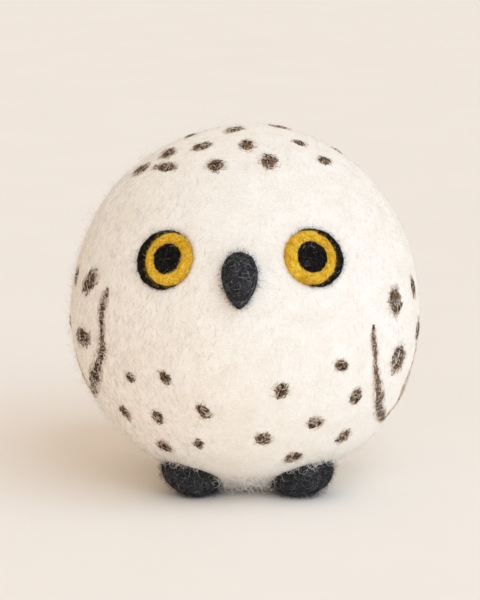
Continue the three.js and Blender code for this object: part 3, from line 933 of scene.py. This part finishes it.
MATTED = {
    "Density": 3.2e6, "Length": 2.4 * MM, "Thickness": 0.14 * MM, "Height": 0.2 * MM, "Sink": 0.2 * MM,
    "Wave": 0.12,
}
FRAYED = {
    "Density": 14e6, "Length": 1.2 * MM, "Length spread": 0.8, "Thickness": 0.03 * MM, "Lean": 0.9,
    "Lean spread": 0.7, "Middle": 0.0, "Wave": 0.35, "Hug": 0.0, "Points": 4,
}
STRAY = {  # each tuft sets how dense they are
    **MATTED, "Thickness": 0.03 * MM, "Height": 0.3 * MM, "Wave": 0.15, "Points": 8, "Material": white_fibre,
}


def finish_tuft(piece, node, fibres):
    """Joins a tuft's fibres into it, hangs it on the root body and hides the CAD node that it stands for."""
    join_pieces(piece, fibres)
    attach(piece, "root")
    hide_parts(node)
    return piece


print("kinds of fibre on a tuft:", len((MATTED, FRAYED, STRAY)))

# %% [markdown]
# ## The eyes
# Each eye is three tufts, one on another: a black backing, a puffy golden ring set towards the beak, so the
# black shows as a crescent on the outer side, and a black pupil in it. The ring's profile rises from a low
# middle, where the pupil lies, to a rounded crown. The hairs that fray from the golden ring over the black
# are what tells the eye that this is wool and not plastic.

# %% Make the eyes
BACKING_PROFILE = [
    [0, 0.55], [0.5, 0.6], [0.85, 0.6], [0.96, 0.35], [1.0, -0.1], [0.97, -1.0], [0.85, -2.2], [0.4, -2.4],
    [0, -2.4],
]
RING_PROFILE = [
    [0, 0.3], [0.45, 0.35], [0.58, 0.75], [0.7, 1.3], [0.81, 1.45], [0.92, 1.15], [1.0, 0.5], [0.97, -0.3],
    [0.6, -0.6], [0, -0.6],
]
PUPIL_PROFILE = [
    [0, 1.2], [0.4, 1.17], [0.75, 1.0], [0.93, 0.75], [1.0, 0.3], [0.95, -0.4], [0.5, -0.6], [0, -0.6],
]
for number, (side, turn, lift, backing, ring, pupil) in enumerate(EYES):
    middle = site_at(turn, lift)
    for part, (width, height, right, up), profile, felt, fibre, edge_row, fray_length in (
        ("backing", backing, BACKING_PROFILE, black_felt, black_fibre, 4, 1.15),
        ("ring", ring, RING_PROFILE, yellow_felt, yellow_fibre, 6, 0.75),
        ("pupil", pupil, PUPIL_PROFILE, black_felt, black_fibre, 4, 0.7),
    ):
        node = f"{side}_eye_{part}"
        seed = 10 * number + edge_row + len(part)
        pad, row = tuft(
            f"{node}_felt", Site(middle.beside(right, up)), oval(width, height), profile, felt,
            uneven=0.025, seed=seed, waves=[(3.5, 0.15), (1.4, 0.1)],
        )
        hairs = fuzz(
            pad, f"{node}_fibres", row < edge_row + 1,
            {**MATTED, "Seed": seed, "Material": fibre},
            {**STRAY, "Seed": seed + 2, "Density": 0.08e6},
        )
        on_edge = np.clip(1.3 - np.abs(row - edge_row + 0.2), 0, 1)
        hairs += fuzz(pad, f"{node}_fray", on_edge, {
            **FRAYED, "Seed": seed + 1, "Length": fray_length * MM, "Material": fibre,
        })
        finish_tuft(pad, node, hairs)

# %% [markdown]
# ## The beak
# The beak is the one tuft that stands well out: a teardrop of charcoal wool with its point down, built up
# in layers until it is 4.5 mm high. Its root goes through the cover into the core, because a dog pulls at
# it. A teardrop outline is an oval whose width shrinks towards the bottom.

# %% Make the beak
BEAK_WIDTH, BEAK_HEIGHT = 9.3, 15.1
BEAK_POINT = 0.55  # 0 gives an oval, 1 a sharp point
BEAK_PROFILE = [
    [0, 4.5], [0.26, 4.4], [0.56, 3.9], [0.84, 2.7], [0.98, 0.9], [1.0, 0], [0.95, -1.2], [0.8, -2],
    [0.42, -2.2], [0.4, -10.5], [0, -11],
]


def teardrop(width, height, point):
    """An outline like a drop with its point down."""
    widest_cosine = point / (2 + point)
    widest = math.sqrt(1 - widest_cosine**2) * ((1 + widest_cosine) / 2) ** (point / 2)

    def points(angles):
        narrowing = np.abs(np.cos((angles - math.pi / 2) / 2)) ** point / widest
        return width / 2 * narrowing * np.cos(angles), height / 2 * np.sin(angles)

    return points


beak, row = tuft(
    "beak_felt", site_at(BEAK_TURN, BEAK_LIFT), teardrop(BEAK_WIDTH, BEAK_HEIGHT, BEAK_POINT), BEAK_PROFILE,
    charcoal_felt, sides=64, steps=44, uneven=0.012, seed=21, waves=[(2.2, 0.14)],
)
CHARCOAL_MATTED = {
    **MATTED, "Density": 2.4e6, "Length": 3 * MM, "Height": 0.25 * MM, "Sink": 0.25 * MM, "Points": 6,
    "Material": charcoal_fibre,
}
CHARCOAL_FUZZ = {
    **FRAYED, "Density": 3e6, "Length": 1.3 * MM, "Thickness": 0.06 * MM, "Lean spread": 0.5,
    "Material": charcoal_fibre,
}
hairs = fuzz(
    beak, "beak_fibres", row < 6,
    {**CHARCOAL_MATTED, "Seed": 31}, {**CHARCOAL_FUZZ, "Seed": 32}, {**STRAY, "Seed": 33, "Density": 0.45e6},
)
finish_tuft(beak, "beak", hairs)
print("beak faces:", len(beak.data.polygons))

# %% [markdown]
# ## The feet
# Two flattened eggs of charcoal wool carry the ball in front. Their outer ends point up a little, and
# their undersides are pressed flat on the floor. An egg is a ball of even faces that is squashed, tilted
# and moved into place; the part inside the white cover is its root. Where a foot meets the ball, its wool
# was needled upwards, and a fringe of hairs stands there. They are black, darker than the foot's charcoal,
# which paints the shade in the crease between foot and ball.

# %% Make the feet
FEET = [("left", -34.2, 1.3, 17), ("right", 40.8, 2.8, -12)]  # side, turn, how far it stands out, tilt
FOOT_WIDTH, FOOT_LENGTH, FOOT_HEIGHT = 17.2, 15.4, 12
TUCKED = 1.4  # how far the felt stays inside the CAD's foot in front, because its fuzz stands out of it
RAISED = 0.5  # the photograph shows the feet this much higher than the CAD's, and their undersides flatter
# painted shade: the fringe hairs are black, darker than the foot's charcoal, where foot and ball meet in a
# crease
FOOT_TOP = {
    **CHARCOAL_FUZZ, "Density": 5e6, "Length": 1.2 * MM, "Lean": 0.7, "Material": black_fibre,
}
FOOT_DIVISIONS = 26
foot_middle = FOOT_HEIGHT / 2 - BASE_CUT + RAISED
drop = (foot_middle - BALL_MIDDLE[2]) / (BALL_HEIGHT / 2)
ball_there = BALL_WIDTH / 2 * math.sqrt(1 - drop * drop)  # how far out the ball is as low as that
egg_out, egg_faces = cube_ball(FOOT_DIVISIONS)
for number, (side, turn, stand_out, tilt) in enumerate(FEET):
    middle = direction(turn, 0) * (ball_there + stand_out - TUCKED) + np.array([0, 0, foot_middle])
    egg = egg_out * np.array([FOOT_WIDTH, FOOT_LENGTH, FOOT_HEIGHT]) / 2
    egg = egg * (1 + relief(egg + 40 * number, [(7, 0.35), (2.4, 0.14)]) / 8)[:, None]
    lean = math.radians(tilt)
    tilted = np.stack([
        egg[:, 0] * math.cos(lean) + egg[:, 2] * math.sin(lean),
        egg[:, 1],
        egg[:, 2] * math.cos(lean) - egg[:, 0] * math.sin(lean),
    ], axis=1)
    points = tilted + middle
    points[:, 2] = np.maximum(points[:, 2], 0)
    foot = make_piece(f"{side}_foot_felt", points, egg_faces, charcoal_felt)
    above_ball = np.linalg.norm(points - BALL_MIDDLE, axis=1) - surface_radius(unit(points - BALL_MIDDLE))
    hidden = (above_ball < -0.5) | (points[:, 2] < 0.3)  # in the cover or on the floor
    fringe_and_shade_edge = np.clip(1.4 - np.abs(above_ball - 0.6), 0, 1) * (points[:, 2] > 4)
    hairs = fuzz(
        foot, f"{side}_foot_fibres", np.where(hidden, 0, 1),
        {**CHARCOAL_MATTED, "Seed": 41 + number}, {**CHARCOAL_FUZZ, "Seed": 43 + number, "Length": 1.5 * MM},
        {**STRAY, "Seed": 45 + number, "Density": 0.18e6},
    )
    # the black fringe along the top edge is real hair that also paints the crease's shade
    hairs += fuzz(foot, f"{side}_foot_top", fringe_and_shade_edge, {**FOOT_TOP, "Seed": 47 + number})
    finish_tuft(foot, f"{side}_foot", hairs)
    print(side, "foot's middle:", [round(float(x), 1) for x in middle])

# %% [markdown]
# ## The wing lines
# Each wing is drawn with one brown strand: down its front edge to a point and back up along its rear edge.
# The strand is needled flat, and most of what shows is fibre: dark hairs on it, fraying out over the white.
# Fibres that fray past a tuft must follow the ball, so they root on a patch: a piece of the ball's own
# surface, laid over the tuft and a little beyond. It only helps to grow them, and is then taken away.

# %% Lay patches
def patch(name, towards, heights, closed=False):
    """A piece of the ball's surface, from rows of directions, for fibres to root on."""
    rows, columns = towards.shape[:2]
    faces = [
        (row * columns + column, (row + 1) * columns + column,
         (row + 1) * columns + (column + 1) % columns, row * columns + (column + 1) % columns)
        for row in range(rows - 1) for column in range(columns if closed else columns - 1)
    ]
    return make_piece(name, on_ball(towards.reshape(-1, 3), np.asarray(heights).ravel()), faces)


def ragged(points, size, strength):
    """A share that wanders about 1 from place to place, so that nothing ends along a clean line."""
    wander = relief(points.reshape(-1, 3) + 77, [(size, 1), (size / 2.3, 0.5)])
    return 1 + strength * wander.reshape(points.shape[:-1])


front = direction(0, 0)[None] * BALL_WIDTH / 2
print("a ragged share at the front:", ragged(front, 4, 0.5).round(2))

# %% [markdown]
# ## A strand of wool
# A strand is a shallow ridge, closed all round, that follows its line over the ball. Wool pulled from a
# bundle is never even, so its width wanders, and it drifts a little to and fro. The ridge is a row of
# sections, each set out across the line and put down onto the bumps of the ball.

# %% Shape a strand
STRAND_STEPS = 110
RIDGE_SHARE = 0.8  # the fraying fibres bring the strand to its full width
RIDGE_SECTION = [  # across the ridge: share of its half width, height
    (1, -0.5), (0.85, 0.02), (0.45, 0.16), (0, 0.2), (-0.45, 0.16), (-0.85, 0.02), (-1, -0.5), (0, -1.4),
]
PATCH_REACH, PATCH_COLUMNS = 1.7, 13  # the patch reaches this many half widths to each side


def strand_piece(name, strand, material, seed):
    """A shallow ridge of wool along a wing line, closed all round, its patch, and where fibres root on it."""
    rows = smooth_rows(strand, STRAND_STEPS)
    centres = np.array([direction(turn, lift) for turn, lift, _ in rows])
    centres = centres * surface_radius(centres)[:, None]
    along = unit(np.gradient(centres, axis=0))
    aside = unit(np.cross(along, centres))
    rings = []
    for index, (centre, side) in enumerate(zip(centres, aside)):
        ends = min(1, 0.25 + 0.25 * min(index, STRAND_STEPS - 1 - index))  # thinner for the last three steps
        slow = noise.noise(Vector((index * 0.16, seed, 0)))
        quick = noise.noise(Vector((index * 0.5, seed, 5)))
        drift = 0.25 * noise.noise(Vector((index * 0.2, seed, 9)))
        width = rows[index][2] / 2 * (1 + 0.35 * slow + 0.2 * quick) * ends * RIDGE_SHARE
        towards = np.array([centre + side * (share * width + drift) for share, _ in RIDGE_SECTION])
        out = unit(towards)
        level = surface_radius(out) + np.array([height for _, height in RIDGE_SECTION]) - FIBRE_ROOM
        level = level + relief(out * level[:, None], FELT_WAVES)
        rings.append(out * level[:, None] + BALL_MIDDLE)
    count = len(rings[0])
    points = np.concatenate(rings)
    faces = [
        (step * count + corner, step * count + (corner + 1) % count,
         (step + 1) * count + (corner + 1) % count, (step + 1) * count + corner)
        for step in range(STRAND_STEPS - 1) for corner in range(count)
    ]
    faces += [tuple(reversed(range(count))), tuple(range(len(points) - count, len(points)))]
    ridge = make_piece(name, points, faces, material)

    # The patch for its fibres is wider than the ridge, and follows it up
    shares = np.linspace(PATCH_REACH, -PATCH_REACH, PATCH_COLUMNS)
    towards = centres[:, None] + aside[:, None] * (shares[None, :, None] * rows[:, None, 2:] / 2)
    lay = np.interp(np.abs(shares), [0, 0.8], [0.2, 0.02]) + np.zeros((len(rows), 1))
    ground = patch(f"{name}_patch", towards, lay)
    inside = rows[:, 2:] / 2 * (1.15 * ragged(towards, 4, 0.5) - np.abs(shares)) - 0.35
    growth = np.clip(inside / 0.4, 0, 1) * np.clip(1.3 * ragged(towards, 1.7, 0.9), 0.25, 1)
    return ridge, ground, growth.ravel()


print("steps along a strand:", STRAND_STEPS)

# %% [markdown]
# ## Lay the brown wool
# Three kinds of fibre make a brown mark: dark ones that lie thick on it, a few fine tan ones that stray over
# the white round it, and pale coarse ones that lie across it. A table says how much paler each group of marks
# is drawn: paler on the right side, the crown and the back, darker at the front of the left wing and in its
# spots. At the rear of a wing there is so little wool that its line is only tan.

# %% Draw the wing lines
PALENESS = {  # how much paler each group of brown marks is drawn
    "left_wing_front": -0.1, "left_wing_rear": 0, "right_wing_front": 0.3, "right_wing_rear": 0.35,
    "left_wing_spot": -0.1, "right_wing_spot": 0.1, "crown_spot": 0.1, "belly_spot": 0.05, "back_spot": 0.1,
}
WING_FIBRES = {
    **MATTED, "Density": 5e6, "Length": 1.9 * MM, "Thickness": 0.22 * MM, "Height": 0.25 * MM, "Points": 4,
    "Pale rim": 0.2,
}
HALO_FIBRES = {
    **WING_FIBRES, "Density": 1.5e6, "Length": 2.6 * MM, "Thickness": 0.06 * MM, "Height": 0.3 * MM,
    "Points": 5, "Material": tan_fibre,
}
CROSSING_FIBRES = {
    **WING_FIBRES, "Density": 0.8e6, "Length": 2.2 * MM, "Thickness": 0.16 * MM, "Height": 0.4 * MM,
    "Points": 5, "Material": coarse_and_shade_fibre,
}
for number, (side, strands) in enumerate(WING_LINES.items()):
    parts = []
    for part, strand, felt, fibre, density in zip(
        ("front", "rear"), strands, (brown_felt, tan_felt), (brown_fibre, tan_fibre), (5e6, 3.5e6),
    ):
        seed = 51 + 5 * number + len(parts)
        ridge, ground, growth = strand_piece(f"{side}_wing_{part}", strand, felt, seed)
        paleness = PALENESS[f"{side}_wing_{part}"]
        hairs = fuzz(ground, f"{ridge.name}_fibres", growth, {
            **WING_FIBRES, "Density": density, "Seed": seed, "Pale": paleness, "Material": fibre,
        })
        hairs += fuzz(
            ground, f"{ridge.name}_halo", np.ones(len(growth)),
            {**HALO_FIBRES, "Seed": seed + 1}, {**CROSSING_FIBRES, "Seed": seed + 2},
        )
        bpy.data.objects.remove(ground)
        parts += [ridge, *hairs]
    parts[0].name = f"{side}_wing_line_wool"
    finish_tuft(parts[0], f"{side}_wing_line", parts[1:])
print("wing line faces:", len(parts[0].data.polygons))

# %% [markdown]
# ## The spots
# A spot is a pinch of brown wool, needled so flat that white fibres of the ball come up through it. It is
# dark at its heart and frays into the white at its rim. Each of them is its own tuft and its own
# outline, from one loop over the tables.

# %% Needle in the spots
SPOT_PROFILE = [[0, 0.18], [0.45, 0.16], [0.8, 0.06], [0.95, -0.1], [1.03, -0.5], [0.8, -1.6], [0, -1.8]]
PAD_SHARE = 0.75  # the fraying fibres bring the spot to its full size
PATCH_ROWS, PATCH_SIDES = 12, 28
SPOT_FIBRES = {
    **WING_FIBRES, "Density": 6.5e6, "Length": 1.6 * MM, "Thickness": 0.2 * MM, "Material": brown_fibre,
}
number = 0
for group, rows in SPOTS.items():
    for index, (turn, lift, width, height, tilt) in enumerate(rows, start=1):
        number += 1
        node = f"{group}_{index}"
        site = site_at(turn, lift)
        spot, _ = tuft(
            f"{node}_wool", site, oval(width * PAD_SHARE, height * PAD_SHARE, tilt), SPOT_PROFILE, brown_felt,
            sides=24, steps=12, uneven=0.12, seed=number,
        )
        shares = np.linspace(0.02, 1.6, PATCH_ROWS)[:, None] + np.zeros(PATCH_SIDES)
        right, up = oval(width, height, tilt)(np.linspace(0, 2 * math.pi, PATCH_SIDES, endpoint=False))
        towards = site.beside(shares * right, shares * up)
        lay = np.interp(shares, [0.3, 0.75], [0.2, 0.02])
        ground = patch(f"{node}_patch", towards, lay, closed=True)
        growth = np.clip((0.9 * ragged(towards, 3, 0.5) - shares) / 0.3, 0, 1)
        growth *= np.clip(1.2 * ragged(towards, 1.3, 0.9), 0.2, 1)
        hairs = fuzz(ground, f"{node}_fibres", growth.ravel(), {
            **SPOT_FIBRES, "Seed": 100 + number, "Pale": PALENESS[group],
        })
        hairs += fuzz(
            ground, f"{node}_halo", np.clip((1.2 - shares) / 0.2, 0, 1).ravel(),
            {**HALO_FIBRES, "Seed": 200 + number}, {**CROSSING_FIBRES, "Seed": 300 + number},
        )
        bpy.data.objects.remove(ground)
        finish_tuft(spot, node, hairs)
print("spots:", number, "faces of the last:", len(spot.data.polygons))

# %% [markdown]
# ## The white fibres
# The last layer is what makes a ball read as wool. Some fibres lie matted on the cover all over. On the side
# away from the window it also has darker coarse cream ones, laid low, which are painted shade there, with
# white ones combed over them. None roots under an eye, under the beak, or where the ball rests on the floor.
# They are made in several pieces, so that none is too heavy.

# %% Lay the white fibres
CLEAR_OF_EYE = BACKING_WIDTH * 1.1
CLEAR_OF_BEAK = (8, 13.5)
RESTING = 0.4  # what is lower than this lies on the floor
out_of_ball = unit(outside - BALL_MIDDLE)
clear = np.where(outside[:, 2] < RESTING, 0, 1)
for site, width, height in (
    *((site_at(turn, lift), CLEAR_OF_EYE, CLEAR_OF_EYE) for _, turn, lift, *_ in EYES),
    (site_at(BEAK_TURN, BEAK_LIFT), *CLEAR_OF_BEAK),
):
    clear = np.where(seat(out_of_ball, site, width, height, 0, 1) > 0.4, 0, clear)
in_cavity = np.zeros(len(cavity))


def dress(name, growth, settings):
    """Grows one layer of white fibres on the cover as its own piece."""
    set_growth(cover, np.concatenate([growth, in_cavity]))
    layer = grow_fibres(cover, name, {"Material": white_fibre, **settings})
    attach(layer, "root")
    print(name, len(layer.data.polygons), "faces")


LYING_FIBRES = {
    "Density": 0.08e6, "Length": 5 * MM, "Thickness": 0.055 * MM, "Height": 0.05 * MM, "Sink": 0.2 * MM,
    "Heading spread": 0.5, "Wave": 0.08, "Points": 6,
}
COMBED_FIBRES = {**LYING_FIBRES, "Length": 3.2 * MM, "Heading spread": 0.7, "Points": 5}
for layer in range(2):
    dress(f"matted_fibres_{layer + 1}", clear, {**LYING_FIBRES, "Seed": 401 + layer})
to_the_right = out_of_ball[:, 0]
painted_shade_side = clear * np.clip(-0.1 - 1.4 * to_the_right, 0, 0.85)  # it begins just left of the middle
# painted shade: the darker coarse fibres grow more thickly the further the cover turns away from the window
dress("coarse_fibres", painted_shade_side, {
    **COMBED_FIBRES, "Density": 0.6e6, "Thickness": 0.13 * MM, "Height": 0.02 * MM, "Seed": 405,
    "Material": coarse_and_shade_fibre,
})
dress("combed_fibres", painted_shade_side, {
    **COMBED_FIBRES, "Density": 0.7e6, "Thickness": 0.16 * MM, "Height": 0.12 * MM, "Seed": 406,
})

# %% [markdown]
# ## Fuzz and curls
# Short fuzz stands out of the ball all over and softens its outline. Longer loose curls catch the light
# against the background, most of them on the left, where nobody has stroked them flat.

# %% Stand the fuzz up
SHORT_FUZZ = {
    "Density": 0.22e6, "Length": 1.3 * MM, "Length spread": 0.6, "Thickness": 0.05 * MM, "Lean": 0.8,
    "Lean spread": 0.6, "Middle": 0.0, "Wave": 0.15, "Hug": 0.0, "Points": 3,
}
for layer in range(3):
    dress(f"fuzz_fibres_{layer + 1}", clear, {**SHORT_FUZZ, "Seed": 411 + layer})
CURLS = {
    "Density": 0.12e6, "Length": 2.6 * MM, "Length spread": 0.6, "Thickness": 0.075 * MM, "Lean": 0.8,
    "Lean spread": 0.5, "Middle": 0.0, "Wave": 0.45, "Waves": 0.9, "Hug": 0.0, "Points": 9,
}
FIRST_CURL = 4  # no curl is rooted lower than this, where it would lie on the floor
loose = np.clip(-1.6 * to_the_right - 0.3, 0.08, 1)  # few on the right, and all there are on the left
dress("curled_fibres", np.where(outside[:, 2] < FIRST_CURL, 0, clear * loose), {**CURLS, "Seed": 421})

# %% [markdown]
# ## Curls round the feet
# The cover was drawn down round the feet, and there its wool is loosest. Curls hang over the top of each
# foot, and between the feet a fringe of them closes the gap under the ball.

# %% Hang the curls
def around(turn, lift, wide, high):
    """Growth that fades out round a place on the cover, over a width and a height in millimetres."""
    away = np.linalg.norm((outside - on_ball(direction(turn, lift)[None])[0]) / [wide, wide, high], axis=1)
    return np.clip(1.4 - away, 0, 1)


FOOT_CURLS = {
    **CURLS, "Density": 2e6, "Length": 2.4 * MM, "Lean": 1.0, "Heading": math.pi, "Heading spread": 1.4,
    "Wave": 0.4,
}
FOOT_TOP_LIFT = -49  # where the cover meets the tops of the feet
FRINGE_TURN, FRINGE_LIFT = 3, -64
over_feet = np.maximum(*(around(turn, FOOT_TOP_LIFT, 9, 2.5) for _, turn, *_ in FEET))
dress("foot_curls", over_feet, {**FOOT_CURLS, "Seed": 431})
dress("fringe_curls", around(FRINGE_TURN, FRINGE_LIFT, 9, 3.5), {
    **FOOT_CURLS, "Density": 4e6, "Seed": 441, "Length": 2.5 * MM, "Lean": 1.2, "Thickness": 0.1 * MM,
})

# %% [markdown]
# ## Say what stands for what
# The cover and core replace the CAD's solids. Matted wool gives when it is squeezed. The growth attribute
# has done its work.

# %% Finish
for piece, node, slot in ((cover, "white_cover", "white_wool"), (core, "wool_core", "core_wool")):
    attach(piece, "root")
    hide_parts(node)
for mesh in bpy.data.meshes:
    if "growth" in mesh.attributes:
        mesh.attributes.remove(mesh.attributes["growth"])

shown = [o for o in bpy.data.objects if o.type == "MESH" and not o.hide_render]
print("pieces:", len(shown), "triangles:", sum(len(p.vertices) - 2 for o in shown for p in o.data.polygons))
